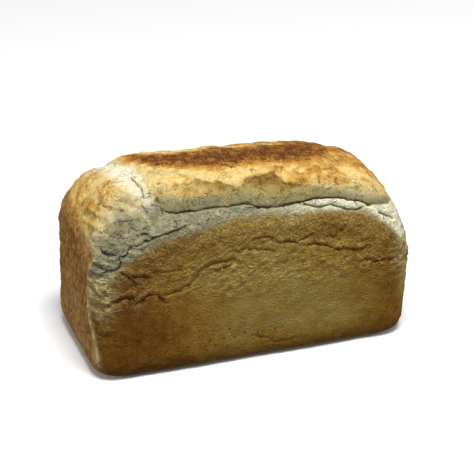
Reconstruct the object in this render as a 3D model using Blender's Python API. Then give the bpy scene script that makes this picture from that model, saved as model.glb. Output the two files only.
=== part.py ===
# Tin loaf: white bread baked in an open, deep loaf tin, as one piece.
#
# Metres, +Z up, the long sides along X. The origin is the middle of the flat base. The lower part has the
# shape of the tin: upright walls, swollen a little, with rounded corners. Above the tin's rim the dough
# rose free into a crown. Along both long sides the crown's crust tore away from the wall in a crease,
# and a shallow seam crosses the crown where two pieces of dough were laid side by side in the tin.

import math

import bmesh
import bpy
from mathutils import Vector

# The tin-shaped part
LENGTH = 0.240
WIDTH = 0.115
SWELL = 0.0016  # the walls bulge out this much, most at SWELL_HEIGHT and less above and below it
SWELL_HEIGHT = 0.052
SWELL_REACH = 0.064
CORNER_RADIUS = 0.019  # the four upright edges
BASE_RADIUS = 0.012  # the edge round the base

# The crown
CROWN_HEIGHT = 0.1365  # at the middle of the loaf
CROWN_TILT = 0.007  # the left end of the crown stands this much over the middle, the right end under it
END_DROP = 0.028  # how far the crown falls away towards each end
END_POWER = 4
SIDE_DROP = 0.0145  # and towards each long side
SHOULDER_RADIUS = 0.023  # where the crown turns down into the walls

# The crease along each long side: its course as (x, height), and its section
FRONT_TEAR = ((-0.104, 0.094), (-0.066, 0.112), (-0.006, 0.119), (0.058, 0.115), (0.104, 0.102))
BACK_TEAR = ((-0.104, 0.098), (-0.052, 0.112), (0.010, 0.117), (0.062, 0.117), (0.104, 0.101))
TEAR_DEPTH = 0.0032
TEAR_HALF_WIDTH = 0.0035
TEAR_FADE = 0.028  # the crease dies out over this length at both ends

# The seam across the crown
SEAM_START = Vector((-0.088, 0.040))
SEAM_END = Vector((-0.074, -0.048))
SEAM_DEPTH = 0.0022
SEAM_HALF_WIDTH = 0.0065

# Cells along X, Y and Z, and the row of cells' edges that follows the crease
CELLS = (36, 18, 22)
TEAR_ROW = 17

# Points on the surface are found along rays from a short spine inside the loaf
SPINE_HEIGHT = 0.060
SPINE_SHARE = 0.35
RAY_REACH = 2.5
RAY_STEPS = 32


def round_join(first, second, radius):
    """Distance to where two shapes overlap, with the edge between them rounded off."""
    corner = math.hypot(max(radius + first, 0.0), max(radius + second, 0.0))
    return min(-radius, max(first, second)) + corner


def fade(value, reach, width):
    """1 well inside reach, 0 well outside it."""
    share = min(max((reach - abs(value)) / width, 0.0), 1.0)
    return share * share * (3 - 2 * share)


def curve_through(points, x):
    """Height at x of the smooth curve through points, which are (x, height) from left to right."""
    last = len(points) - 1
    x = min(max(x, points[0][0]), points[last][0])
    i = max(k for k in range(last) if points[k][0] <= x)
    (x0, z0), (x1, z1) = points[i], points[i + 1]
    before, after = points[max(i - 1, 0)], points[min(i + 2, last)]
    slope0 = (z1 - before[1]) / (x1 - before[0])
    slope1 = (after[1] - z0) / (after[0] - x0)
    t = (x - x0) / (x1 - x0)
    ends = z0 * (1 + 2 * t) * (1 - t) ** 2 + z1 * (3 - 2 * t) * t * t
    return ends + (x1 - x0) * (slope0 * t * (1 - t) ** 2 - slope1 * t * t * (1 - t))


def tear_height(x, y):
    """Height of the crease at x, on the front wall where y is below 0 and on the back wall above it."""
    front, back = curve_through(FRONT_TEAR, x), curve_through(BACK_TEAR, x)
    share = (y / WIDTH) + 0.5
    return front + (back - front) * min(max(share, 0.0), 1.0)


def tear_depth(p):
    """How far the crease cuts into the long walls at p."""
    off = (p.z - tear_height(p.x, p.y)) / TEAR_HALF_WIDTH
    return TEAR_DEPTH * math.exp(-off * off) * fade(p.x, FRONT_TEAR[-1][0], TEAR_FADE)


def wall_distance(p):
    """Distance outwards from the four walls, which stand on a rounded rectangle."""
    inset = SWELL * min(((p.z - SWELL_HEIGHT) / SWELL_REACH) ** 2, 1.0)
    half_length = LENGTH / 2 - inset
    half_width = WIDTH / 2 - inset - tear_depth(p)
    out_x = abs(p.x) - (half_length - CORNER_RADIUS)
    out_y = abs(p.y) - (half_width - CORNER_RADIUS)
    outside = math.hypot(max(out_x, 0.0), max(out_y, 0.0))
    return outside + min(max(out_x, out_y), 0.0) - CORNER_RADIUS


def seam_depth(x, y):
    """How far the seam dips the crown at x, y."""
    along = SEAM_END - SEAM_START
    off = (Vector((x, y)) - SEAM_START).cross(along) / along.length / SEAM_HALF_WIDTH
    return SEAM_DEPTH * math.exp(-off * off)


def crown_height(x, y):
    """Height of the crown over the point x, y."""
    end = x / (LENGTH / 2)
    side = y / (WIDTH / 2)
    fall = CROWN_TILT * end + END_DROP * abs(end) ** END_POWER + SIDE_DROP * side * side
    return CROWN_HEIGHT - fall - seam_depth(x, y)


def loaf_distance(p):
    """Below 0 inside the loaf and above 0 outside it."""
    body = round_join(wall_distance(p), p.z - crown_height(p.x, p.y), SHOULDER_RADIUS)
    return round_join(body, -p.z, BASE_RADIUS)


def box_of_cells():
    """A closed box from -1 to 1 on each axis, cut into CELLS along X, Y and Z."""
    bm = bmesh.new()
    bmesh.ops.create_cube(bm, size=2.0)
    for axis, count in enumerate(CELLS):
        normal = Vector((0.0, 0.0, 0.0))
        normal[axis] = 1.0
        for cut in range(1, count):
            geometry = bm.verts[:] + bm.edges[:] + bm.faces[:]
            where = normal * (2 * cut / count - 1)
            bmesh.ops.bisect_plane(bm, geom=geometry, plane_co=where, plane_no=normal)
    return bm


def ray_heights(row, x, y):
    """Heights where a row's ray starts and where it aims. TEAR_ROW runs along the crease.

    The rays of the rows up to the crease are level, and those above it fan out from the spine.
    """
    tear = tear_height(x, y)
    if row <= TEAR_ROW:
        aim = tear * row / TEAR_ROW
        return (aim if row > 0.5 else SPINE_HEIGHT), aim
    share = (row - TEAR_ROW) / (CELLS[2] - TEAR_ROW)
    return tear + (SPINE_HEIGHT - tear) * share, tear + (CROWN_HEIGHT - tear) * share


def on_surface(cell):
    """The point of the loaf's surface that a corner of the box of cells stands for."""
    x, y = cell.x * LENGTH / 2, cell.y * WIDTH / 2
    start_height, aim_height = ray_heights((cell.z + 1) / 2 * CELLS[2], x, y)
    start = Vector((x * SPINE_SHARE, 0.0, start_height))
    ray = Vector((x, y, aim_height)) - start
    inside, outside = 0.0, RAY_REACH
    for _ in range(RAY_STEPS):
        middle = (inside + outside) / 2
        if loaf_distance(start + ray * middle) < 0:
            inside = middle
        else:
            outside = middle
    return start + ray * inside


def crust_material():
    """Baked crust, a matt golden tan."""
    material = bpy.data.materials.new("crust")
    material.use_nodes = True
    shader = material.node_tree.nodes["Principled BSDF"]
    shader.inputs["Base Color"].default_value = (0.47, 0.29, 0.11, 1.0)
    shader.inputs["Roughness"].default_value = 0.75
    shader.inputs["Metallic"].default_value = 0.0
    return material


def make_loaf():
    """The loaf as one closed solid."""
    bm = box_of_cells()
    for vertex in bm.verts:
        vertex.co = on_surface(vertex.co)
    bmesh.ops.recalc_face_normals(bm, faces=bm.faces)
    mesh = bpy.data.meshes.new("loaf")
    bm.to_mesh(mesh)
    bm.free()
    mesh.shade_smooth()
    mesh.materials.append(crust_material())
    loaf = bpy.data.objects.new("loaf", mesh)
    bpy.context.scene.collection.objects.link(loaf)
    return loaf


for old in list(bpy.data.objects):
    bpy.data.objects.remove(old)
make_loaf()
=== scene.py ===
import math
from types import SimpleNamespace

import bmesh
import bpy
import numpy as np
from mathutils import Matrix, Vector, noise
from mathutils.bvhtree import BVHTree


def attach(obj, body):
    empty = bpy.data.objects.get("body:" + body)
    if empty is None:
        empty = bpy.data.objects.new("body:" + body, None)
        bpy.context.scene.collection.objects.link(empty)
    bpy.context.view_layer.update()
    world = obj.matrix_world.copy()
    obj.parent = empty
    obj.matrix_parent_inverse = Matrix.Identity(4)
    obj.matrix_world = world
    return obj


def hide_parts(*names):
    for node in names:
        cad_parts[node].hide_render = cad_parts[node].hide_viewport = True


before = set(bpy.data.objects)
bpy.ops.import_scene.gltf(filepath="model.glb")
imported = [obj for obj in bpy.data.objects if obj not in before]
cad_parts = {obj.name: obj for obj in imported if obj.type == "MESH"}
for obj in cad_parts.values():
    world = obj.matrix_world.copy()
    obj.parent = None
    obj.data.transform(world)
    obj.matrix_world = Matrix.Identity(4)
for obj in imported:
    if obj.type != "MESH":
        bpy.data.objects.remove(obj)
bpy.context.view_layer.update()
mm = 0.001

# the skin that the whole loaf is sculpted from, and its own unevenness; sizes and heights in mm
crust = {
    "voxel": 1.52, "smoothRounds": 6,
    "cutReach": (1.8, 1.2),  # beside tears and creases the mesh is cut finer, once for each reach
    "swell": 0.7, "swellSize": 42, "lumps": 0.28, "lumpSize": 13,
    "roughSize": 3.4, "patchSize": 24, "wanderSize": 5,
}

# how high the crust's own shapes stand, in mm
relief = {
    "rough": 0.16, "ridges": 0.95, "finerRidges": 0.45, "leftFolds": 1.9, "rightFolds": 1.1,
    "uprightWrinkles": 1.1, "flakes": 1.5, "strands": 2.0, "tornBand": 0.9, "seamStrings": 0.8,
    "underSheet": 0.5, "leftEdge": 1.1,
}

# what the sculptor hands to the material: one number from 0 to 1 at each point for each of these
zoneNames = ("brown", "tin", "flour", "dark", "wall", "band", "pale", "endFace", "shade", "crumpled", "dusk",
             "edgeLine", "combed", "pores")

# The courses of the shapes below are lists of points in mm: (along, up) on the long sides, (across, up) on
# the ends, and (along, across) on top. Heights count from the base, and front is the side below 0 across
backLip = [
    (-101, 99), (-92, 104), (-74, 109), (-52, 114), (-30, 116), (-8, 118), (10, 119), (30, 121), (52, 119),
    (70, 117), (86, 111), (99, 103)]

# Deep tears. lip is how far the crust above stands proud, over a reach; wander roughens the course, and fade
# is the share of it over which its far end dies out
tears = {
    "lip": {"side": "front", "depth": 2.0, "width": 0.55, "lip": 0.6, "reach": 3,
        "points": [
            (-70, 124), (-58, 122), (-46, 122), (-31, 122), (-19, 121), (-9, 121), (-3, 119), (1, 117),
            (12, 116), (29, 116), (43, 117), (61, 115), (69, 112), (78, 110), (84, 107), (102, 104)]},
    "tongueEdge": {"side": "front", "depth": 1.7, "width": 0.6, "lip": 0.5, "reach": 4, "wander": 0.4,
        "points": [(33, 115), (41, 113), (46, 112), (55, 112), (66, 108), (74, 106), (81, 107)]},
    "tongueEnd": {"side": "front", "depth": 1.4, "width": 0.8, "lip": 0.4, "reach": 3,
        "points": [(91, 102), (98, 98), (104, 94)]},
    "lowerTear": {"side": "front", "depth": 1.9, "width": 0.55, "lip": 0.6, "reach": 3, "wander": 1.3,
        "fade": 0.35,
        "points": [(-101, 98), (-97, 100), (-93, 104), (-84, 107), (-73, 109), (-60, 111), (-49, 113)]},
    "lowerTail": {"side": "front", "depth": 1.5, "width": 0.6, "lip": 0.4, "reach": 3,
        "points": [(-101, 98), (-101, 95), (-102, 91), (-105, 89), (-109, 89), (-113, 86)]},
    "leftFold": {"side": "front", "depth": 2.1, "width": 1.1, "lip": 0.8, "reach": 4,
        "points": [(-113, 101), (-109, 100), (-102, 99)]},
    "backLip": {"side": "back", "depth": 2.4, "width": 0.65, "lip": 0.6, "reach": 3,
        "points": backLip},
    "backShelf": {"side": "back", "depth": 1.8, "width": 0.7, "lip": 0.5, "reach": 4,
        "points": [(14, 113), (34, 114), (50, 112), (68, 111), (84, 105)]},
}

# Shallow creases and wrinkles, each as (depth, width, points). dark is how strongly their painted shade shows
creases = {
    "frontWall": {"side": "front", "wander": 1.1, "dark": 0.48, "lines": [
        (1.3, 1.0, [(-102, 89), (-98, 84), (-92, 83), (-83, 82), (-80, 79)]),
        (1.0, 0.9, [(-97, 84), (-93, 79), (-90, 74)]),
        (0.7, 0.9, [(-81, 86), (-75, 83), (-63, 83), (-55, 81)]),
        (1.5, 1.5, [(-112, 62), (-107, 64), (-102, 66), (-98, 67), (-91, 65)]),
        (1.6, 1.4, [(-89, 62), (-83, 66), (-76, 66), (-72, 61), (-68, 57)]),
        (1.2, 1.3, [
            (-76, 65), (-66, 64), (-60, 66), (-52, 70), (-47, 75), (-43, 81), (-36, 83), (-22, 84),
            (-13, 83)]),
        (0.7, 1.1, [(-34, 77), (-25, 79), (-19, 81)]),
        (0.9, 0.9, [(-6, 98), (1, 98), (8, 97), (8, 93)]),
        (1.1, 1.0, [(9, 93), (18, 92), (28, 90), (33, 92), (40, 94)]),
        (1.2, 1.0, [
            (29, 90), (35, 86), (40, 87), (47, 85), (52, 83), (57, 80), (64, 80), (70, 78), (76, 76),
            (81, 78), (85, 85)]),
        (0.9, 0.9, [(48, 90), (52, 92), (56, 89), (60, 94), (65, 97)]),
        (0.8, 0.9, [(-19, 91), (-11, 91), (-4, 90), (0, 89), (7, 87), (13, 85)]),
        (1.0, 1.1, [(78, 69), (85, 66), (93, 66), (105, 65)]),
        (0.65, 0.8, [(-8, 21), (3, 18), (13, 12), (20, 12), (25, 12), (34, 14)]),
        (1.1, 1.0, [(-117, 93), (-115, 91), (-112, 89)]),
    ]},
    "frontBand": {"side": "front", "wander": 0.4, "dark": 0.48, "lines": [
        (0.9, 0.7, [(-62, 115), (-60, 112), (-60, 109)]),
        (0.9, 0.8, [(-111, 109), (-108, 112), (-103, 110)]),
        (1.1, 0.8, [(-93, 118), (-89, 115), (-84, 111), (-79, 111)]),
    ]},
    "seam": {"side": "top", "wander": 0.4, "dark": 0.85, "lines": [
        (1.3, 0.7, [(-79, -3), (-78, -10), (-76, -21), (-76, -27), (-77, -34)]),
        (1.2, 0.7, [(-80, -37), (-78, -42), (-77, -44)]),
        (1.0, 0.7, [(-75, -41), (-73, -40), (-69, -43), (-68, -45), (-68, -48)]),
    ]},
    "leftLobe": {"side": "top", "wander": 0.4, "dark": 0.85, "lines": [
        (1.0, 0.8, [(-104, -22), (-102, -28), (-100, -34)]),
        (1.0, 0.8, [(-99, -41), (-96, -44), (-92, -45), (-88, -46)]),
    ]},
    "lobeHollow": {"side": "top", "wander": 1.4, "dark": 0.85, "lines": [
        (0.75, 2.8, [(-102, -27), (-98, -33), (-94, -38), (-89, -42)]),
    ]},
    "crown": {"side": "top", "wander": 0.4, "dark": 0.85, "lines": [
        (1.0, 0.9, [(-37, -26), (-34, -28), (-32, -30), (-28, -30)]),
        (1.2, 0.9, [(-15, -11), (-10, -12), (-8, -15), (-6, -17)]),
        (1.0, 0.9, [(-12, 0), (-10, -3), (-8, -8), (-1, -8)]),
        (0.9, 0.9, [(10, -31), (15, -27), (20, -26), (25, -25)]),
        (1.0, 0.9, [(23, -21), (29, -21), (31, -18)]),
        (0.9, 0.9, [(24, -30), (23, -36), (25, -38), (32, -39)]),
        (0.9, 0.9, [(37, -25), (39, -29), (43, -30)]),
        (1.4, 0.9, [(64, -4), (67, -7), (69, -9)]),
        (0.9, 0.9, [(53, -30), (52, -35), (51, -40)]),
        (0.9, 0.9, [(57, -26), (64, -24), (71, -23)]),
        (0.9, 0.9, [(66, -33), (63, -38), (65, -41)]),
        (1.2, 0.9, [(-45, 22), (-43, 16), (-41, 10)]),
        (1.0, 0.9, [(-16, -34), (-14, -37), (-14, -41)]),
        (1.0, 0.9, [(-70, -35), (-69, -38), (-68, -43)]),
        (0.9, 0.9, [(6, 26), (14, 29), (24, 27), (29, 30)]),
        (0.9, 0.9, [(-52, 33), (-46, 36), (-38, 35)]),
        (0.9, 0.9, [(58, 24), (60, 31), (66, 34)]),
    ]},
    "leftEnd": {"side": "left", "wander": 1.1, "dark": 0.48, "lines": [
        (1.0, 0.9, [(20, 97), (15, 94), (10, 88)]),
        (1.0, 0.9, [(11, 104), (4, 101), (-2, 96)]),
        (1.1, 0.9, [(22, 84), (15, 80), (10, 72)]),
        (0.9, 0.9, [(-18, 97), (-21, 88), (-22, 76), (-24, 68)]),
    ]},
    "rightEnd": {"side": "right", "wander": 1.1, "dark": 0.48, "lines": [
        (1.0, 1.0, [(-24, 88), (-12, 84), (2, 86), (14, 82)]),
        (0.9, 1.0, [(6, 66), (18, 63), (30, 66)]),
    ]},
    "backWall": {"side": "back", "wander": 1.1, "dark": 0.48, "lines": [
        (1.2, 1.2, [
            (-84, 78), (-66, 82), (-50, 88), (-30, 87), (-8, 91), (16, 89), (38, 84), (52, 86), (74, 80)]),
        (1.0, 1.2, [(22, 70), (42, 66), (60, 68), (80, 62), (98, 64)]),
        (0.9, 1.0, [(-102, 64), (-88, 67), (-74, 61), (-60, 63)]),
    ]},
}

# how high the tin's colour reaches on the walls, and where the left end's face begins
tinLine = {
    "front": [
        (-112, 82), (-98, 91), (-90, 97), (-79, 103), (-65, 107), (-51, 109), (-25, 112), (9, 113),
        (31, 111), (50, 110), (79, 106), (88, 101), (100, 91), (110, 80)],
    "back": [
        (-112, 84), (-96, 94), (-80, 101), (-52, 107), (-10, 111), (30, 110), (66, 107), (88, 99),
        (110, 84)],
    "leftRim": [(-47, 97), (-37, 101), (-23, 105), (5, 107), (34, 108), (50, 104)],  # as (across, up)
    "leftEdge": [
        (0, -50), (17, -48), (39, -44), (60, -38), (78, -41), (93, -46), (101, -48)],  # as (up, across)
    "rightEnd": 98,
}

# The solid has a groove under the crown. The skin fills it down to the crown's torn edge, by depth at most,
# and by the share below under that edge. blunt is the place along where the edge is less sharp
overhang = {
    "depth": 3.2, "below": 0.72,
    "front": {"blunt": -36,
        "hollow": [(-104, 94), (-66, 112), (-6, 119), (58, 115), (104, 102)],
        "edge": [
            (-101, 98), (-93, 104), (-73, 109), (-49, 113), (-35, 116), (-19, 119), (1, 117), (29, 116),
            (43, 117), (61, 115), (78, 110), (84, 107), (102, 104)]},
    "back": {"blunt": -300,
        "hollow": [(-104, 98), (-52, 112), (10, 117), (62, 117), (104, 101)],
        "edge": backLip},
}

# where the crown's golden crust begins
crownEdge = {
    "front": [
        (-116, 101), (-101, 100), (-92, 105), (-84, 107.5), (-78, 111), (-74, 117), (-69, 123.5),
        (-58, 122), (-31, 122), (-9, 121), (1, 117), (29, 116), (43, 117), (61, 115), (78, 110), (84, 107),
        (102, 104)],
    "back": backLip,
}

# the ragged edge of the golden sheet of crust on the crown
sheetEdge = [
    (-73, -33), (-62, -34), (-53, -29), (-45, -30), (-37, -27), (-27, -30), (-21, -30), (-17, -34),
    (-12, -37), (-10, -41), (-7, -36), (-1, -29), (9, -30), (14, -27), (21, -25), (23, -35), (29, -38),
    (39, -39), (49, -43), (65, -42), (84, -39)]

# the scorched stripe along the crown, and the floury seam across it
scorch = {
    "line": [(-72, 26), (-62, 15), (-46, 6), (-24, 0), (2, 3), (34, 1), (58, 10), (70, 17)],
    "halfWidth": 15.5, "darkness": 0.96, "halo": 0.20,
}
seam = {
    "start": (-88, 40), "end": (-74, -48), "halfWidth": 4.6, "bulge": 4.0,
    "besideFlour": 0.74, "lobeFlour": 0.12,
}


def report(words):
    print("loaf:", words)


def smooth(values, low, high):
    # 0 up to low, 1 from high on
    t = np.clip((values - low) / (high - low), 0.0, 1.0)
    return t * t * (3 - 2 * t)


def hump(values, rise, full, fade, gone):
    # 0 up to rise, 1 from full to fade, 0 again from gone on
    return smooth(values, rise, full) * (1 - smooth(values, fade, gone))


def bell(values, middle, width, power=2):
    # 1 at the middle, falling away on both sides
    return np.exp(-((values - middle) / width) ** power)


def curve(points, xs):
    xp, zp = zip(*points)
    return np.interp(xs, xp, zp)


def cloud(points, size, octaves=3, shift=0.0, stretch=(1, 1, 1)):
    # soft noise from about -1 to 1, with lumps of that size in mm
    scaled = points / size * np.array(stretch) + shift
    return np.array([noise.fractal(p, 1.0, 2.0, octaves) for p in scaled.tolist()])


def ridged(points, size, shift, sharpness, power=1.0, stretch=(1, 1, 1)):
    # wandering ridges, 1 along the top and 0 between them
    return np.clip(1 - np.abs(cloud(points, size, 2, shift, stretch)) * sharpness, 0, 1) ** power


def pointsOf(mesh):
    flat = np.empty(len(mesh.vertices) * 3)
    mesh.vertices.foreach_get("co", flat)
    return flat.reshape(-1, 3)


def normalsOf(mesh):
    flat = np.empty(len(mesh.vertices) * 3)
    mesh.vertex_normals.foreach_get("vector", flat)
    return flat.reshape(-1, 3)


def traceOn(tree, side, points):
    # drops the points of a line onto the skin from outside
    starts = {"front": lambda a, b: ((a, -400, b), (0, 1, 0)), "back": lambda a, b: ((a, 400, b), (0, -1, 0)),
              "top": lambda a, b: ((a, b, 400), (0, 0, -1)), "left": lambda a, b: ((-400, a, b), (1, 0, 0)),
              "right": lambda a, b: ((400, a, b), (-1, 0, 0))}
    found = []
    for a, b in points:
        start, way = starts[side](a, b)
        hit = tree.ray_cast(Vector(start) * mm, Vector(way))[0]
        if hit:
            found.append(np.array(hit) / mm)
    return np.array(found)


def traceLines(tree):
    tearLines = [(tear, traceOn(tree, tear["side"], tear["points"])) for tear in tears.values()]
    creaseLines = []
    for group in creases.values():
        for depth, width, points in group["lines"]:
            creaseLines.append((group, depth, width, traceOn(tree, group["side"], points)))
    return tearLines, creaseLines


def followLine(points, line):
    # distance to the line in mm, the place along it from 0 to 1, and how far above it each point is
    lengths = np.linalg.norm(np.diff(line, axis=0), axis=1)
    travelled = np.concatenate([[0], np.cumsum(lengths)])
    away = np.full(len(points), 1e6)
    place = np.zeros(len(points))
    above = np.zeros(len(points))
    for i, (a, b) in enumerate(zip(line[:-1], line[1:])):
        step = b - a
        t = np.clip((points - a) @ step / (step @ step), 0, 1)
        gap = points - a - t[:, None] * step
        d = np.linalg.norm(gap, axis=1)
        closer = d < away
        away[closer] = d[closer]
        place[closer] = ((travelled[i] + t * lengths[i]) / travelled[-1])[closer]
        above[closer] = gap[closer, 2]
    return away, place, above


def makeSkin():
    # a fresh, even mesh over the solid loaf
    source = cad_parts["loaf"]
    mesh = source.data.copy()
    mesh.materials.clear()
    skin = bpy.data.objects.new("loaf_crust", mesh)
    bpy.context.scene.collection.objects.link(skin)
    remesh = skin.modifiers.new("evenMesh", "REMESH")
    remesh.mode = "VOXEL"
    remesh.voxel_size = crust["voxel"] * mm
    relax = skin.modifiers.new("relax", "SMOOTH")
    relax.factor = 0.5
    relax.iterations = crust["smoothRounds"]
    even = bpy.data.meshes.new_from_object(skin.evaluated_get(bpy.context.evaluated_depsgraph_get()))
    skin.modifiers.clear()
    skin.data = even
    report(f"skin of {len(even.vertices)} points")
    return skin


def refineRound(mesh, lines, reaches):
    # cuts the mesh finer beside the lines, once for each reach in mm
    for reach in reaches:
        bm = bmesh.new()
        bm.from_mesh(mesh)
        points = pointsOf(mesh) / mm
        close = np.zeros(len(points), bool)
        for line in lines:
            low, high = line.min(0) - reach, line.max(0) + reach
            maybe = np.flatnonzero(((points > low) & (points < high)).all(1))
            close[maybe[followLine(points[maybe], line)[0] < reach]] = True
        bm.verts.ensure_lookup_table()
        edges = [e for e in bm.edges if close[e.verts[0].index] and close[e.verts[1].index]]
        bmesh.ops.subdivide_edges(bm, edges=edges, cuts=1, use_grid_fill=True)
        bm.to_mesh(mesh)
        bm.free()
    report(f"{len(mesh.vertices)} points after cuts beside the lines")


# In the functions below, s holds what is known of every point of the skin: p is its place in mm, n its way
# outwards, and the rest are zones, noises and colours. Each zone goes from 0 to 1, and each step adds its own


def surveySkin(mesh):
    s = SimpleNamespace(p=pointsOf(mesh) / mm, n=normalsOf(mesh))
    s.swell = cloud(s.p, crust["swellSize"], 2) * crust["swell"]
    s.lumps = cloud(s.p, crust["lumpSize"], 3, 7.0) * crust["lumps"]
    s.rough = cloud(s.p, crust["roughSize"], 3, 31.0)
    s.patches = cloud(s.p, crust["patchSize"], 2, 3.0)
    s.wander = np.stack([cloud(s.p, crust["wanderSize"], 3, shift) for shift in (11.0, 17.0, 23.0)], axis=1)
    return s


def findWalls(s):
    # where the crust baked against the tin: the long sides, the two ends and the underside
    x, y, z = s.p.T
    front = smooth(-y, -6, 6)
    s.line = curve(tinLine["front"], x) * front + curve(tinLine["back"], x) * (1 - front)
    raggedLine = s.line + 1.6 * s.patches + 1.4 * s.rough
    rim = curve(tinLine["leftRim"], y) + 2 * s.patches + s.rough
    s.leftFace = smooth(-x, 102, 112) * smooth(y + 0.8 * s.rough - curve(tinLine["leftEdge"], z), -1.5, 3.0)
    s.leftFace *= smooth(rim - z, -5, 7)
    s.rightFace = smooth(s.n[:, 0], 0.80, 0.93)
    s.longFace = (1 - s.leftFace) * (1 - s.rightFace)
    onLongSides = s.longFace * smooth(raggedLine - z, -3, 5)
    onRightEnd = s.rightFace * smooth(tinLine["rightEnd"] + 2 * s.patches - z, -2, 5)
    s.tin = np.max([onLongSides, s.leftFace, onRightEnd, smooth(-s.n[:, 2], 0.2, 0.7)], axis=0)


def findSeam(s):
    # the floury seam, and the lobe of crust on its left
    x, y, z = s.p.T
    start, end = np.array(seam["start"], float), np.array(seam["end"], float)
    along = (end - start) / np.linalg.norm(end - start)
    warped = s.p + 3.0 * s.wander
    offSeam = (warped[:, 0] - start[0]) * along[1] - (warped[:, 1] - start[1]) * along[0]
    halfWidth = seam["halfWidth"] + seam["bulge"] * bell(y, 2, 14)
    s.seamMask = bell(offSeam, 0, halfWidth, 4) * smooth(z + 3 * s.patches, 114, 124)
    s.seamMask *= smooth(y + 3 * s.patches, -48, -27)
    s.leftOfSeam = start[0] + (y - start[1]) * along[0] / along[1] - x
    s.leftLobe = smooth(s.leftOfSeam, 0, 7) * smooth(z, 92, 102)


def findCrown(s, tree):
    # up is how far up the crown a point lies, in mm from the lips, and below 0 in the torn band under them
    x, y, z = s.p.T
    fromLip = {}
    for side in ("front", "back"):
        away = followLine(s.p, traceOn(tree, side, crownEdge[side]))[0]
        fromLip[side] = away * np.where(z > curve(crownEdge[side], x), 1, -1)
    s.up = np.where(y < 0, fromLip["front"], fromLip["back"])
    # round the right end the crown reaches further down, so the torn band is narrow there
    s.roundEnd = smooth(x, 103, 110) * (1 - smooth(np.abs(y) + 5 * s.patches, 20, 42))
    s.up += 12 * s.roundEnd
    lobeUp = np.where(y < 0, 34 + 0.76 * y, 34 - 0.5 * y) + 3 * s.patches
    s.up = s.up * (1 - s.leftLobe) + lobeUp * s.leftLobe
    s.band = (1 - s.tin) * smooth(-s.up, -1, 2) * (1 - s.leftFace) * (1 - s.rightFace)
    s.tongue = hump(x, 36, 50, 100, 110) * smooth(-y, 30, 40) * s.band


def findScorch(s):
    x, y, z = s.p.T
    s.offScorch = np.abs(y + 3 * s.patches + 1.5 * s.rough - curve(scorch["line"], x))
    s.scorchEnds = hump(x, -84, -62, 52, 84)
    s.scorched = bell(s.offScorch, 0, scorch["halfWidth"], 3) * s.scorchEnds * smooth(z, 118, 128)


def findFlakes(s):
    # terraces of crust with broken edges
    sheet = cloud(s.p + 2.0 * s.wander, 12, 3, 71.0, stretch=(0.8, 1, 1.2))
    levels = (-0.45, -0.15, 0.12, 0.4)
    s.flakes = sum(smooth(sheet, level, level + 0.05) for level in levels) / len(levels)
    s.flakeEdge = sum(bell(sheet, level, 0.03) for level in levels)
    s.flaky = (1 - s.tin) * smooth(s.up, 2, 7) * (1 - 0.5 * s.scorched)
    s.flaky = np.maximum(s.flaky, s.leftLobe * (1 - s.tin))


def findSheet(s):
    # the crust under the ragged edge of the golden sheet, darker partly by painted shade, and a painted
    # shadow along that edge
    x, y, _ = s.p.T
    overEdge = y + 1.2 * s.rough + 1.5 * s.wander[:, 0] - curve(sheetEdge, x)
    sheetZone = hump(x, -74, -66, 78, 90) * smooth(s.up, 4, 9) * smooth(-y, 5, 15)
    s.underSheet = (1 - smooth(overEdge, -0.6, 0.6)) * sheetZone
    s.edgeCrack = bell(overEdge, -0.9, 0.8) * sheetZone * smooth(cloud(s.p, 8, 2, 95.0), -0.15, 0.15)


def findStrands(s):
    # thick strands of torn crust run down the left shoulder towards the corner
    x, y, z = s.p.T
    way = np.array([22.0, -36.0, -11.0])
    way /= np.linalg.norm(way)
    aside = np.cross(way, (0.0, 0.0, 1.0))
    aside /= np.linalg.norm(aside)
    turned = np.stack([s.p @ way, s.p @ aside, s.p @ np.cross(way, aside)], axis=1)
    s.strands = ridged(turned + 1.2 * s.wander, 10, 97.0, 2.8, stretch=(0.35, 1, 1))
    s.strandZone = smooth(-x, 66, 80) * smooth(-y, 0, 24) * smooth(z, 94, 104) * (1 - s.leftFace)


def crumpleWalls(s):
    # the upper walls are crumpled like leather, and slanting folds cover the four corners
    x, y, z = s.p.T
    s.crumpled = smooth(z + 6 * s.patches, 48, 66) * s.tin * (1 - s.leftFace)
    slanting = np.stack([-0.85 * np.abs(x) - 0.5 * z, y, z - 0.5 * np.abs(x)], axis=1)
    s.folds = ridged(slanting + 1.2 * s.wander, 8.0, 53.0, 2.6, stretch=(0.40, 0.40, 1.3))
    raggedX = np.abs(x) + 3 * s.patches + 2.5 * s.rough + 5 * (s.folds - 0.4)
    s.corner = smooth(raggedX, 101, 114) * smooth(np.abs(x), 92, 104) * smooth(np.abs(y), 34, 44)
    s.corner *= hump(z, 14, 50, 98, 112) * (1 - s.leftFace)
    s.ridges = ridged(s.p + 2.0 * s.wander, 8, 41.0, 3, 1.5, stretch=(0.8, 0.8, 0.9))
    s.finerRidges = ridged(s.p + 1.5 * s.wander, 5, 47.0, 3, 1.5)
    s.uprightWrinkles = ridged(s.p + s.wander, 7, 61.0, 2.6, 1.5, stretch=(1, 1.6, 0.35))


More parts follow.
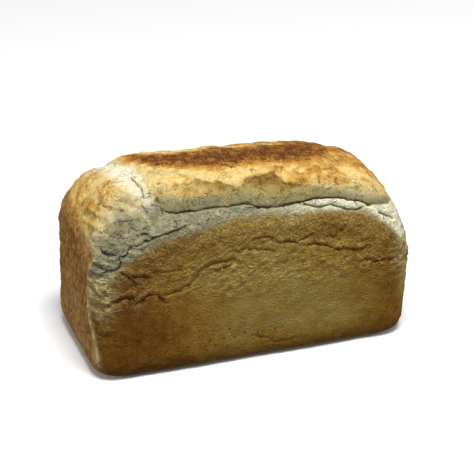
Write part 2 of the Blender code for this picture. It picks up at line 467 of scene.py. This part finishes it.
def brownCrown(s):
    # 0 is floury, 0.45 golden, 1 scorched
    x, y, z = s.p.T
    brown = 0.40 * smooth(s.up + 2.5 * s.patches + 2 * s.rough, 3, 18)
    brown += 0.15 * smooth(x + 20 * s.patches, -10, 50)
    brown -= 0.14 * smooth(-x, 20, 60) * (1 - s.leftLobe)
    brown -= 0.16 * bell(x + 6 * s.rough, 84, 11, 4) * smooth(-y, 5, 20)
    brown += 0.10 * smooth(x, 46, 62) * smooth(y, -24, -8)
    brown += 0.16 * smooth(-x, 98, 112) * s.leftLobe
    brown -= 0.18 * s.leftLobe * (1 - smooth(z, 104, 114)) * smooth(-y, 20, 32)
    brown -= 0.07 * smooth(x, 38, 52) * (1 - smooth(s.up, 8, 16))
    besideScorch = np.clip(s.offScorch - scorch["halfWidth"] + 3, 0, None)
    brown += scorch["halo"] * bell(besideScorch, 0, 5) * s.scorchEnds * smooth(z, 118, 128)
    brown += 0.26 * (s.flakes - 0.5) * smooth(s.up, 5, 14)
    brown += (scorch["darkness"] - brown) * s.scorched
    brown += (0.13 + 0.14 * s.rough) * s.underSheet * smooth(s.up, 7, 14)
    s.brown = brown


def flourSeam(s):
    # flour lies on the seam, beside it on the left lobe, and thinly on that lobe's lower part
    _, y, z = s.p.T
    besideSeam = bell(np.clip(s.leftOfSeam, 0, None), 0, 9) * smooth(s.leftOfSeam, 0, 3) * smooth(y, -42, -20)
    flour = s.seamMask * (0.8 + 0.3 * s.rough)
    flour = np.maximum(flour, seam["besideFlour"] * besideSeam * smooth(z, 112, 120))
    s.flour = np.maximum(flour, seam["lobeFlour"] * s.leftLobe * hump(s.up, 0, 5, 6, 20))


def shadeLips(s):
    # painted shade, partly the dull colour of less-baked crust: above the lips, under the golden sheet, on
    # the left lobe's front-left shoulder and in a hollow flake there
    x, y, _ = s.p.T
    shade = (1 - smooth(s.up + 2 * s.patches + 1.5 * s.rough, 4, 24)) * (1 - 0.45 * s.leftLobe)
    shade *= (1 - 0.5 * smooth(x + 8 * s.patches, 40, 62) * smooth(s.up, 2, 8)) * (1 - 0.8 * s.roundEnd)
    shade = np.maximum(shade, (0.87 + 0.2 * s.patches - 0.4 * smooth(np.abs(x - 5), 25, 50)) * s.underSheet)
    shade = np.maximum(shade, 0.30 * smooth(-x + 8 * s.patches, 92, 108) * s.leftLobe * smooth(-y, -10, 20))
    alongFlake = (x + 89) * 0.65 - (y + 32) * 0.76
    acrossFlake = (x + 89) * 0.76 + (y + 32) * 0.65
    shade = np.maximum(shade, 0.66 * bell(alongFlake, 0, 10) * bell(acrossFlake, 0, 5) * s.leftLobe)
    # the strands' crests keep less of the painted shade, so they read lighter
    s.shade = shade * (1 - 0.55 * s.strands ** 2 * s.strandZone * s.leftLobe)


def brownWalls(s):
    # how brown the tin-baked walls are, darkest low at the left and round the base
    x, y, z = s.p.T
    onFront = smooth(-y, 20, 40)
    wall = 0.48 + 0.18 * smooth(-x, 14, 64) + 0.07 * s.patches
    wall -= 0.13 * bell(x, 30, 55, 4) * hump(z, 14, 30, 50, 76)
    wall += 0.12 * smooth(x, 30, 50) * smooth(z, 86, 96)
    wall -= 0.10 * hump(z, 58, 70, 92, 100) * hump(x, -80, -60, 10, 40)
    wall += 0.08 * smooth(x, 36, 60) * smooth(z, 60, 70)
    wall += 0.10 * smooth(-x, 74, 88) * hump(z, 44, 54, 80, 92)
    wall += 0.14 * smooth(-x, 48, 84) * (1 - smooth(z, 44, 64)) * onFront
    wall += 0.06 * hump(s.line - z, 0, 8, 14, 24)
    wall += (0.09 * smooth(x, 46, 84) + 0.15 * smooth(x + 6 * s.patches, 80, 102)) * (1 - smooth(z, 60, 96))
    # painted light: lighter round the right end's edges
    wall -= 0.42 * smooth(x, 105, 114) * hump(z, 24, 40, 70, 96)
    wall += 0.12 * (1 - smooth(z, 4, 26))
    wall += 0.14 * smooth(-x, 50, 84) * hump(z, 48, 62, 82, 92) * onFront
    s.wall = wall


def paintZones(s):
    # pale corners, a painted highlight along the edge of the left end, the combed strip under the tin's line,
    # and the pores
    x, y, z = s.p.T
    s.pale = s.corner * smooth(z, 34, 92) * (0.60 + 0.6 * s.folds) * np.where(x < 0, 1, 0.6)
    s.pale += 0.2 * s.rough * s.corner
    s.edgeLine = bell(y + 0.8 * s.rough, curve(tinLine["leftEdge"], z), 2.2) * smooth(-x, 106, 113)
    s.edgeLine *= hump(z, 4, 20, 98, 106)
    s.combed = bell(s.line - z, 7, 6) * s.longFace
    s.pores = (1 - smooth(z + 6 * s.patches, 26, 52)) * s.tin * (1 - 0.75 * smooth(x + 10 * s.patches, 0, 36))
    s.endFace = s.leftFace + s.rightFace
    # the torn band is dull at the left, partly painted shade, and bright at the right
    s.dusk = 1 - smooth(x + 8 * s.patches, -10, 66)


def raiseCrust(s):
    # push is how far each point moves, in mm
    x, y, z = s.p.T
    out = s.swell + s.lumps + relief["rough"] * s.rough
    leather = relief["ridges"] * s.ridges + relief["finerRidges"] * s.finerRidges
    out += leather * s.crumpled * smooth(s.patches, -0.9, 0.0)
    out += np.where(x < 0, relief["leftFolds"], relief["rightFolds"]) * (s.folds - 0.5) * s.corner
    onEnds = np.maximum(s.leftFace, s.rightFace) * smooth(z, 10, 70)
    out += relief["uprightWrinkles"] * (s.uprightWrinkles - 0.3) * onEnds
    out += relief["flakes"] * (s.flakes - 0.5) * s.flaky * (1 - 0.6 * s.seamMask)
    out += relief["strands"] * (s.strands - 0.4) * s.strandZone * (1 - 0.7 * s.seamMask)
    out -= relief["underSheet"] * s.underSheet
    stringy = cloud(s.p + 1.5 * s.wander, 4.2, 3, 83.0, stretch=(0.7, 1, 1.1))
    out += relief["tornBand"] * stringy * s.band * (1 - 0.85 * s.tongue)
    out += relief["seamStrings"] * (stringy - 1) * s.seamMask
    leftEdge = bell(y, curve(tinLine["leftEdge"], z), 1.6) * smooth(-x, 106, 113) * smooth(z, 20, 50)
    out += relief["leftEdge"] * leftEdge
    s.push = out[:, None] * s.n


def trueOutline(s):
    # the back of the crown lies a little lower, the left end's foot reaches out and the right end is flatter
    x, y, z = s.p.T
    back = smooth(y, 4, 30) * smooth(z, 108, 120) * hump(x, -64, -40, 84, 102)
    s.push[:, 2] -= (1.9 - 0.8 * smooth(x, 0, 30) - 1.5 * bell(x, -8, 8)) * back
    s.push[:, 0] -= 1.2 * smooth(-x, 98, 114) * (1 - smooth(z, 8, 36))
    s.push[:, 0] -= 1.8 * smooth(x, 98, 116) * bell(z, 82, 20)


def fillOverhang(s):
    # the crown's crust stands out to the full shape of the loaf right down to its torn edge
    x, y, z = s.p.T
    for side, way in (("front", -1), ("back", 1)):
        shape = overhang[side]
        hollow = overhang["depth"] * np.clip(1 - np.abs(z - curve(shape["hollow"], x)) / 8, 0, 1)
        blunt = 0.8 + 5 * bell(x, shape["blunt"], 12, 4)
        above = smooth(z + 0.8 * s.rough - curve(shape["edge"], x), 0, blunt)
        hollow *= overhang["below"] + (1 - overhang["below"]) * above
        hollow *= smooth(104 - np.abs(x), 0, 24) * smooth(y * way, 20, 40)
        s.push += hollow[:, None] * s.n


def paintHollowShade(s):
    # dark is how much of the dark colour shows, mostly painted shade in hollows
    z = s.p[:, 2]
    # darker in a band under the tin's line
    dark = 0.22 * s.tin * s.longFace * hump(s.line - z, 2, 9, 14, 26)
    # painted shade between the ridges of the crumpled walls and between the folds of the corners
    dark += 0.12 * (1 - s.ridges) * s.crumpled * smooth(s.rough, -0.2, 0.6) + 0.16 * (1 - s.folds) * s.corner
    # painted shade at the flakes' broken edges
    brokenEdges = s.flakeEdge * s.flaky * smooth(cloud(s.p, 9, 2, 91.0), 0.10, 0.40)
    dark += 0.30 * brokenEdges * (1 - 0.7 * s.seamMask) * smooth(z, 124, 130)
    # painted shade between the left end's upright wrinkles
    betweenWrinkles = 1 - smooth(s.uprightWrinkles, 0.0, 0.35)
    dark += 0.34 * betweenWrinkles * s.leftFace * smooth(z + 10 * s.patches, 40, 80)
    # painted shadow under the golden sheet's edge
    dark += 0.48 * s.edgeCrack
    # painted shade between the strands
    dark += 0.30 * (1 - smooth(s.strands, 0.0, 0.4)) * s.strandZone * (1 - s.seamMask)
    s.dark = dark


def cutTears(s, tearLines):
    # a deep narrow cut under a proud, drooping edge
    for tear, line in tearLines:
        away, place, above = followLine(s.p + tear.get("wander", 0.8) * s.wander, line)
        fade = smooth(place, 0.0, 0.05) * smooth(1 - place, 0.0, tear.get("fade", 0.07))
        width = tear["width"] * (0.75 + 0.5 * fade)
        proud = np.where(above > 0, np.exp(-away / tear["reach"]) * (1 - bell(away, 0, 0.7)), 0)
        droop = np.where(above > 0, bell(away, 1.0, 1.3), 0)
        s.push += ((tear["lip"] * proud - tear["depth"] * bell(away, 0, width)) * fade)[:, None] * s.n
        s.push[:, 2] -= 0.35 * droop * fade
        # painted shade inside the cut
        s.dark = np.maximum(s.dark, bell(away, 0, 0.85 * width) * fade)


def pressCreases(s, creaseLines):
    # a groove with a low swelling beside it, painted shade in the groove and a painted shadow below it
    for group, depth, width, line in creaseLines:
        away, place, above = followLine(s.p + group["wander"] * s.wander, line)
        fade = smooth(np.minimum(place, 1 - place), 0.0, 0.15) * (0.75 + 0.5 * s.rough)
        proud = 0.45 * bell(away, 2.2 * width, 1.3 * width) * np.where(above > 0, 1, 0.5)
        s.push += ((proud - bell(away, 0, width)) * fade * depth)[:, None] * s.n
        creaseShade = np.where(above > 0, 0.096, 0.336) * bell(away, 0, 2.8)
        creaseShade = np.maximum(1.5 * bell(away, 0, 0.8 * width), creaseShade)
        s.dark = np.maximum(s.dark, creaseShade * fade * min(depth, 1.3) * group["dark"])


def sculptLoaf(skin):
    mesh = skin.data
    tree = BVHTree.FromPolygons([v.co.copy() for v in mesh.vertices], [p.vertices[:] for p in mesh.polygons])
    tearLines, creaseLines = traceLines(tree)
    refineRound(mesh, [line for *_, line in tearLines + creaseLines], crust["cutReach"])

    s = surveySkin(mesh)
    findWalls(s)
    findSeam(s)
    findCrown(s, tree)
    for step in (findScorch, findFlakes, findSheet, findStrands, crumpleWalls):
        step(s)
    report("zones found")
    for step in (brownCrown, flourSeam, shadeLips, brownWalls, paintZones):
        step(s)
    for step in (raiseCrust, trueOutline, fillOverhang, paintHollowShade):
        step(s)
    cutTears(s, tearLines)
    pressCreases(s, creaseLines)

    moved = s.p + s.push
    moved[:, 2] = np.maximum(moved[:, 2], 0.0)
    mesh.vertices.foreach_set("co", (moved * mm).ravel())
    mesh.update()
    mesh.shade_smooth()
    for name in zoneNames:
        store = mesh.attributes.new(name, "FLOAT", "POINT")
        store.data.foreach_set("value", np.clip(getattr(s, name), 0, 1))
    report(f"sculpted, {sum(len(f.vertices) - 2 for f in mesh.polygons)} triangles")


# linear colours, as Blender's sockets take them
crustColours = {
    "crown": [(0.00, (0.64, 0.57, 0.36)), (0.16, (0.67, 0.54, 0.25)), (0.24, (0.73, 0.55, 0.20)),
              (0.33, (0.86, 0.67, 0.31)), (0.44, (0.76, 0.52, 0.165)), (0.60, (0.60, 0.32, 0.060)),
              (0.80, (0.36, 0.138, 0.023)), (1.00, (0.100, 0.032, 0.007))],
    "wall": [(0.00, (0.52, 0.41, 0.190)), (0.30, (0.46, 0.33, 0.090)), (0.52, (0.38, 0.225, 0.034)),
             (0.76, (0.25, 0.105, 0.004)), (1.00, (0.16, 0.048, 0.002))],
    "endFace": (0.66, 0.34, 0.080), "endFlecks": (0.38, 0.135, 0.030), "endRidges": (0.85, 0.60, 0.24),
    "ridges": (0.66, 0.52, 0.20), "shade": (0.36, 0.375, 0.32), "corner": (0.98, 0.83, 0.40),
    # cornerFolds is the painted shade in the grooves of the corner folds, and edge is the painted highlight
    # along the left end's edge
    "cornerFolds": (0.38, 0.225, 0.034), "edge": (1.0, 0.74, 0.36),
    "band": (0.31, 0.295, 0.185), "bandBright": (0.89, 0.86, 0.63), "flour": (0.96, 0.94, 0.76),
    # the next line's first two colours are the painted shade of tears, creases and hollows, and the third is
    # the crown's short cracks
    "cracksAndShade": (0.050, 0.028, 0.008), "wallCracksAndShade": (0.15, 0.065, 0.008), "crownCrack": (0.20, 0.095, 0.020),
    "flakeEdge": (0.95, 0.72, 0.33), "pore": (0.060, 0.026, 0.002),
}


def addNode(tree, kind, **settings):
    node = tree.nodes.new(kind)
    for key, value in settings.items():
        if hasattr(node, key):
            setattr(node, key, value)
        else:
            node.inputs[key.replace("_", " ")].default_value = value
    return node


def readValue(tree, name):
    return addNode(tree, "ShaderNodeAttribute", attribute_name=name).outputs["Fac"]


def treeOf(*values):
    return next(value.id_data for value in values if isinstance(value, bpy.types.NodeSocket))


def fillSockets(tree, sockets, values):
    # each value is another socket, a number or a colour
    for socket, value in zip(sockets, values):
        if isinstance(value, bpy.types.NodeSocket):
            tree.links.new(value, socket)
        else:
            socket.default_value = (*value, 1.0) if isinstance(value, tuple) else value


def sums(operation, a, b, clamp=False):
    tree = treeOf(a, b)
    node = addNode(tree, "ShaderNodeMath", operation=operation, use_clamp=clamp)
    fillSockets(tree, node.inputs, (a, b))
    return node.outputs[0]


def times(a, b, clamp=False):
    return sums("MULTIPLY", a, b, clamp)


def plus(a, b, clamp=False):
    return sums("ADD", a, b, clamp)


def minus(a, b, clamp=False):
    return sums("SUBTRACT", a, b, clamp)


def spread(value, share):
    # noise from 0 to 1 becomes a change of that size round 0
    return times(minus(value, 0.5), share)


def blend(share, first, second, way="MIX"):
    tree = treeOf(share, first, second)
    node = addNode(tree, "ShaderNodeMix", data_type="RGBA", blend_type=way)
    fillSockets(tree, (node.inputs[0], node.inputs[6], node.inputs[7]), (share, first, second))
    return node.outputs[2]


def rampOf(value, stops):
    tree = treeOf(value)
    node = addNode(tree, "ShaderNodeValToRGB")
    ramp = node.color_ramp
    while len(ramp.elements) < len(stops):
        ramp.elements.new(0.5)
    for element, (place, colour) in zip(ramp.elements, stops):
        element.position = place
        element.color = (*colour, 1.0)
    tree.links.new(value, node.inputs[0])
    return node.outputs["Color"]


def limits(value, low, high):
    # 0 at low, 1 at high, smooth between them
    tree = treeOf(value)
    node = addNode(tree, "ShaderNodeMapRange", interpolation_type="SMOOTHSTEP", From_Min=low, From_Max=high)
    tree.links.new(value, node.inputs["Value"])
    return node.outputs[0]


def speckle(where, size, detail=3.0, roughness=0.6):
    # noise with grains of that size in mm, evenly from 0 to 1
    tree = treeOf(where)
    node = addNode(tree, "ShaderNodeTexNoise", Scale=1000 / size, Detail=detail, Roughness=roughness)
    tree.links.new(where, node.inputs["Vector"])
    return limits(node.outputs["Fac"], 0.30, 0.70)


def ridgeLines(where, size, width, bend=1.5, detail=2.0):
    # thin wandering lines, 1 on the line and 0 away from it
    tree = treeOf(where)
    node = addNode(tree, "ShaderNodeTexNoise", Scale=1000 / size, Detail=detail, Roughness=0.5,
                   Distortion=bend)
    tree.links.new(where, node.inputs["Vector"])
    off = sums("ABSOLUTE", minus(node.outputs["Fac"], 0.5), 0.0)
    return limits(off, width, 0.0)


def squeezed(where, scale, tilt=0.0):
    # a small scale draws the noise out along that axis
    tree = treeOf(where)
    node = addNode(tree, "ShaderNodeMapping", Scale=scale, Rotation=(0.0, tilt, 0.0))
    tree.links.new(where, node.inputs["Vector"])
    return node.outputs[0]


def poresOf(where, amount):
    # round pores of two sizes in mm, and the share of places left without one
    kinds = []
    for size, emptyShare in ((4.4, 0.40), (2.6, 0.55)):
        tree = treeOf(where)
        pits = addNode(tree, "ShaderNodeTexVoronoi", Scale=1000 / size)
        tree.links.new(where, pits.inputs["Vector"])
        chosen = addNode(tree, "ShaderNodeSeparateColor")
        tree.links.new(pits.outputs["Color"], chosen.inputs[0])
        kept = limits(chosen.outputs[0], emptyShare, emptyShare + 0.1)
        kinds.append(times(times(limits(pits.outputs["Distance"], 0.26, 0.14), kept), amount))
    return sums("MAXIMUM", *kinds)


def crustGrain(where, zone):
    # the patterns that both the colour and the relief are made of
    g = SimpleNamespace()
    g.fine = speckle(where, 1.2)
    g.pebbles = speckle(where, 2.6)
    g.mottle = speckle(where, 6)
    g.broad = speckle(where, 22)

    # wrinkles of the walls, of the ends, where they run upright, and of the folded corners
    g.net = ridgeLines(where, 8.5, 0.085)
    g.netFine = ridgeLines(where, 3.6, 0.090)
    g.upright = ridgeLines(squeezed(where, (1.0, 1.0, 0.28)), 3.2, 0.10)
    g.scallops = ridgeLines(squeezed(where, (0.45, 0.45, 1.4), tilt=0.5), 5.5, 0.16, bend=0.6)
    g.lowWall = minus(zone["tin"], zone["crumpled"], clamp=True)

    # broken flakes of the crown: short cracks, and bright edges where the crust isn't scorched
    onCrown = minus(1.0, zone["tin"], clamp=True)
    brokenHere = limits(speckle(where, 13), 0.50, 0.70)
    g.cracks = times(times(ridgeLines(where, 9.0, 0.026, bend=2.2, detail=3.0), brokenHere), onCrown)
    edges = times(ridgeLines(where, 7.0, 0.020, bend=2.0, detail=3.0), limits(g.mottle, 0.45, 0.75))
    g.flakeEdges = times(times(edges, onCrown), limits(zone["brown"], 0.80, 0.55))
    g.pores = poresOf(where, zone["pores"])
    return g


def crownColour(zone, g):
    brown = plus(plus(zone["brown"], spread(g.mottle, 0.22)), spread(g.pebbles, 0.10))
    stripe = limits(zone["brown"], 0.55, 0.85)
    brown = plus(brown, spread(g.fine, plus(times(stripe, 0.22), 0.16)), clamp=True)
    colour = rampOf(brown, crustColours["crown"])
    colour = blend(1.0, colour, blend(zone["shade"], (1.0, 1.0, 1.0), crustColours["shade"]), "MULTIPLY")
    lit = plus(minus(1.0, zone["dusk"]), spread(g.mottle, 0.3), clamp=True)
    return blend(zone["band"], colour, blend(lit, crustColours["band"], crustColours["bandBright"]))


def wallColour(zone, g):
    brown = plus(zone["wall"], spread(g.mottle, 0.13))
    brown = plus(brown, spread(g.fine, plus(times(g.lowWall, 0.22), 0.14)))
    wall = rampOf(plus(brown, spread(g.broad, 0.12), clamp=True), crustColours["wall"])
    wrinkles = times(plus(g.net, times(g.netFine, 0.4)), zone["crumpled"])
    wall = blend(times(wrinkles, 0.24), wall, crustColours["ridges"])
    wall = blend(times(times(g.upright, zone["combed"]), 0.35), wall, crustColours["ridges"])
    flecks = limits(plus(spread(g.fine, 0.8), g.mottle), 0.30, 0.90)
    end = blend(flecks, crustColours["endFace"], crustColours["endFlecks"])
    end = blend(times(times(g.upright, g.broad), 0.6), end, crustColours["endRidges"])
    wall = blend(zone["endFace"], wall, end)
    wall = blend(zone["pale"], wall, crustColours["corner"])
    # painted shade in the grooves of the corner folds
    wall = blend(times(times(g.scallops, zone["pale"]), 0.6), wall, crustColours["cornerFolds"])
    # a painted highlight along the left end's edge
    return blend(zone["edgeLine"], wall, crustColours["edge"])


def crustColour(zone, g):
    colour = blend(zone["tin"], crownColour(zone, g), wallColour(zone, g))
    flour = times(zone["flour"], plus(times(g.mottle, 0.6), 0.70), clamp=True)
    colour = blend(flour, colour, crustColours["flour"])
    colour = blend(times(g.flakeEdges, 0.45), colour, crustColours["flakeEdge"])

    # a fine grain over everything, from a little darker to a little brighter, stronger on the walls
    darker = blend(zone["tin"], (0.82, 0.79, 0.72), (0.74, 0.72, 0.66))
    brighter = blend(zone["tin"], (1.11, 1.11, 1.11), (1.20, 1.20, 1.20))
    colour = blend(1.0, colour, blend(g.fine, darker, brighter), "MULTIPLY")

    # cracks and pores lie over the rest, then the painted shade of tears, creases and hollows, which is warm
    # brown on the walls and the golden crust
    colour = blend(times(g.cracks, 0.75), colour, crustColours["crownCrack"])
    colour = blend(times(g.pores, 0.80), colour, crustColours["pore"])
    golden = times(limits(zone["brown"], 0.10, 0.30), limits(zone["brown"], 0.75, 0.50))
    cracksAndShade = blend(sums("MAXIMUM", zone["tin"], golden), crustColours["cracksAndShade"], crustColours["wallCracksAndShade"])
    return blend(times(zone["dark"], 0.80), colour, cracksAndShade)


def crustRelief(zone, g):
    # heights in mm
    height = times(g.fine, plus(times(g.lowWall, 0.40), 0.37))
    height = plus(height, times(g.pebbles, plus(times(zone["band"], 0.30), 0.40)))
    height = plus(height, times(plus(times(g.net, 0.52), times(g.netFine, 0.17)), zone["crumpled"]))
    height = plus(height, times(times(g.upright, plus(zone["endFace"], zone["combed"])), 0.7))
    height = minus(height, times(times(g.scallops, zone["pale"]), 1.1))
    height = plus(height, times(times(g.mottle, zone["band"]), plus(times(zone["dusk"], 0.9), 0.3)))
    height = minus(height, times(g.cracks, 0.6))
    return minus(height, g.pores)


def bakedCrust():
    material = bpy.data.materials.new("bakedCrust")
    material.use_nodes = True
    tree = material.node_tree
    shader = tree.nodes["Principled BSDF"]
    where = addNode(tree, "ShaderNodeTexCoord").outputs["Object"]
    zone = {name: readValue(tree, name) for name in zoneNames}
    g = crustGrain(where, zone)
    tree.links.new(crustColour(zone, g), shader.inputs["Base Color"])
    roughness = addNode(tree, "ShaderNodeMapRange", To_Min=0.62, To_Max=0.92)
    tree.links.new(g.mottle, roughness.inputs["Value"])
    tree.links.new(roughness.outputs[0], shader.inputs["Roughness"])
    shader.inputs["Specular IOR Level"].default_value = 0.14
    bump = addNode(tree, "ShaderNodeBump", Strength=1.0, Distance=mm)
    tree.links.new(crustRelief(zone, g), bump.inputs["Height"])
    tree.links.new(bump.outputs[0], shader.inputs["Normal"])
    return material


def makeLoaf():
    loaf = makeSkin()
    sculptLoaf(loaf)
    loaf.data.materials.append(bakedCrust())
    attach(loaf, "root")
    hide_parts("loaf")


# soft light from overhead and from both sides, and weak light from all round
# powers in watts, sizes and places in metres
studio = {
    "topPower": 56.0, "topSize": (0.9, 0.7), "topPlace": (-0.05, -0.70, 2.20),
    "leftPower": 14.0, "leftSize": (0.8, 0.8), "leftPlace": (-2.20, -0.40, 1.00),
    "rightPower": 14.0, "rightSize": (0.8, 0.8), "rightPlace": (2.20, -0.40, 0.80),
    "skyLight": 0.24, "groundLight": 0.16, "floorColour": (0.93, 0.93, 0.925), "floorSize": 8.0,
}


def makeFloor():
    half = studio["floorSize"] / 2
    mesh = bpy.data.meshes.new("floor")
    corners = [(-half, -half, 0), (half, -half, 0), (half, half, 0), (-half, half, 0)]
    mesh.from_pydata(corners, [], [(0, 1, 2, 3)])
    floor = bpy.data.objects.new("floor", mesh)
    bpy.context.scene.collection.objects.link(floor)
    paint = bpy.data.materials.new("palePaint")
    paint.use_nodes = True
    shader = paint.node_tree.nodes["Principled BSDF"]
    shader.inputs["Base Color"].default_value = (*studio["floorColour"], 1.0)
    shader.inputs["Roughness"].default_value = 0.9
    shader.inputs["Specular IOR Level"].default_value = 0.1
    mesh.materials.append(paint)
    floor.visible_diffuse = False  # the floor stays white, and throws no light up the loaf's walls


def softLight(name, power, size, place):
    lamp = bpy.data.lights.new(name, "AREA")
    lamp.shape = "RECTANGLE"
    lamp.size, lamp.size_y = size
    lamp.energy = power
    light = bpy.data.objects.new(name, lamp)
    light.location = place
    light.rotation_euler = (Vector((0, 0, 0.06)) - Vector(place)).to_track_quat("-Z", "Y").to_euler()
    bpy.context.scene.collection.objects.link(light)


def lightStudio():
    for name in ("top", "left", "right"):
        softLight(name, studio[name + "Power"], studio[name + "Size"], studio[name + "Place"])
    world = bpy.data.worlds.new("studio")
    world.use_nodes = True
    tree = world.node_tree
    where = addNode(tree, "ShaderNodeTexCoord").outputs["Generated"]
    height = addNode(tree, "ShaderNodeSeparateXYZ")
    tree.links.new(where, height.inputs[0])
    light = addNode(tree, "ShaderNodeMapRange", From_Min=-0.25, From_Max=0.45,
                    To_Min=studio["groundLight"], To_Max=studio["skyLight"])
    tree.links.new(height.outputs["Z"], light.inputs["Value"])
    tree.links.new(light.outputs[0], tree.nodes["Background"].inputs["Strength"])
    tree.nodes["Background"].inputs["Color"].default_value = (1.0, 1.0, 1.0, 1.0)
    scene = bpy.context.scene
    scene.world = world
    scene.view_settings.view_transform = "Standard"
    scene.view_settings.look = "None"


# where the camera stands: degrees round and above the loaf, metres from the point it looks at
cameraSettings = {
    "around": -19.8, "above": 26.7, "roll": 0.7, "distance": 1.2776, "lens": 132.9,
    "lookAt": (0.0030, -0.0004, 0.0713),
}


def placeCamera():
    around, above, roll = (math.radians(cameraSettings[k]) for k in ("around", "above", "roll"))
    back = Vector((math.sin(around) * math.cos(above), -math.cos(around) * math.cos(above), math.sin(above)))
    lens = bpy.data.cameras.new("camera")
    lens.lens = cameraSettings["lens"]
    lens.sensor_width = 36
    camera = bpy.data.objects.new("camera", lens)
    place = Vector(cameraSettings["lookAt"]) + back * cameraSettings["distance"]
    turn = (-back).to_track_quat("-Z", "Y").to_matrix().to_4x4() @ Matrix.Rotation(roll, 4, "Z")
    camera.matrix_world = Matrix.Translation(place) @ turn
    bpy.context.scene.collection.objects.link(camera)
    bpy.context.scene.camera = camera


placeCamera()
lightStudio()
makeFloor()
makeLoaf()
report("done")
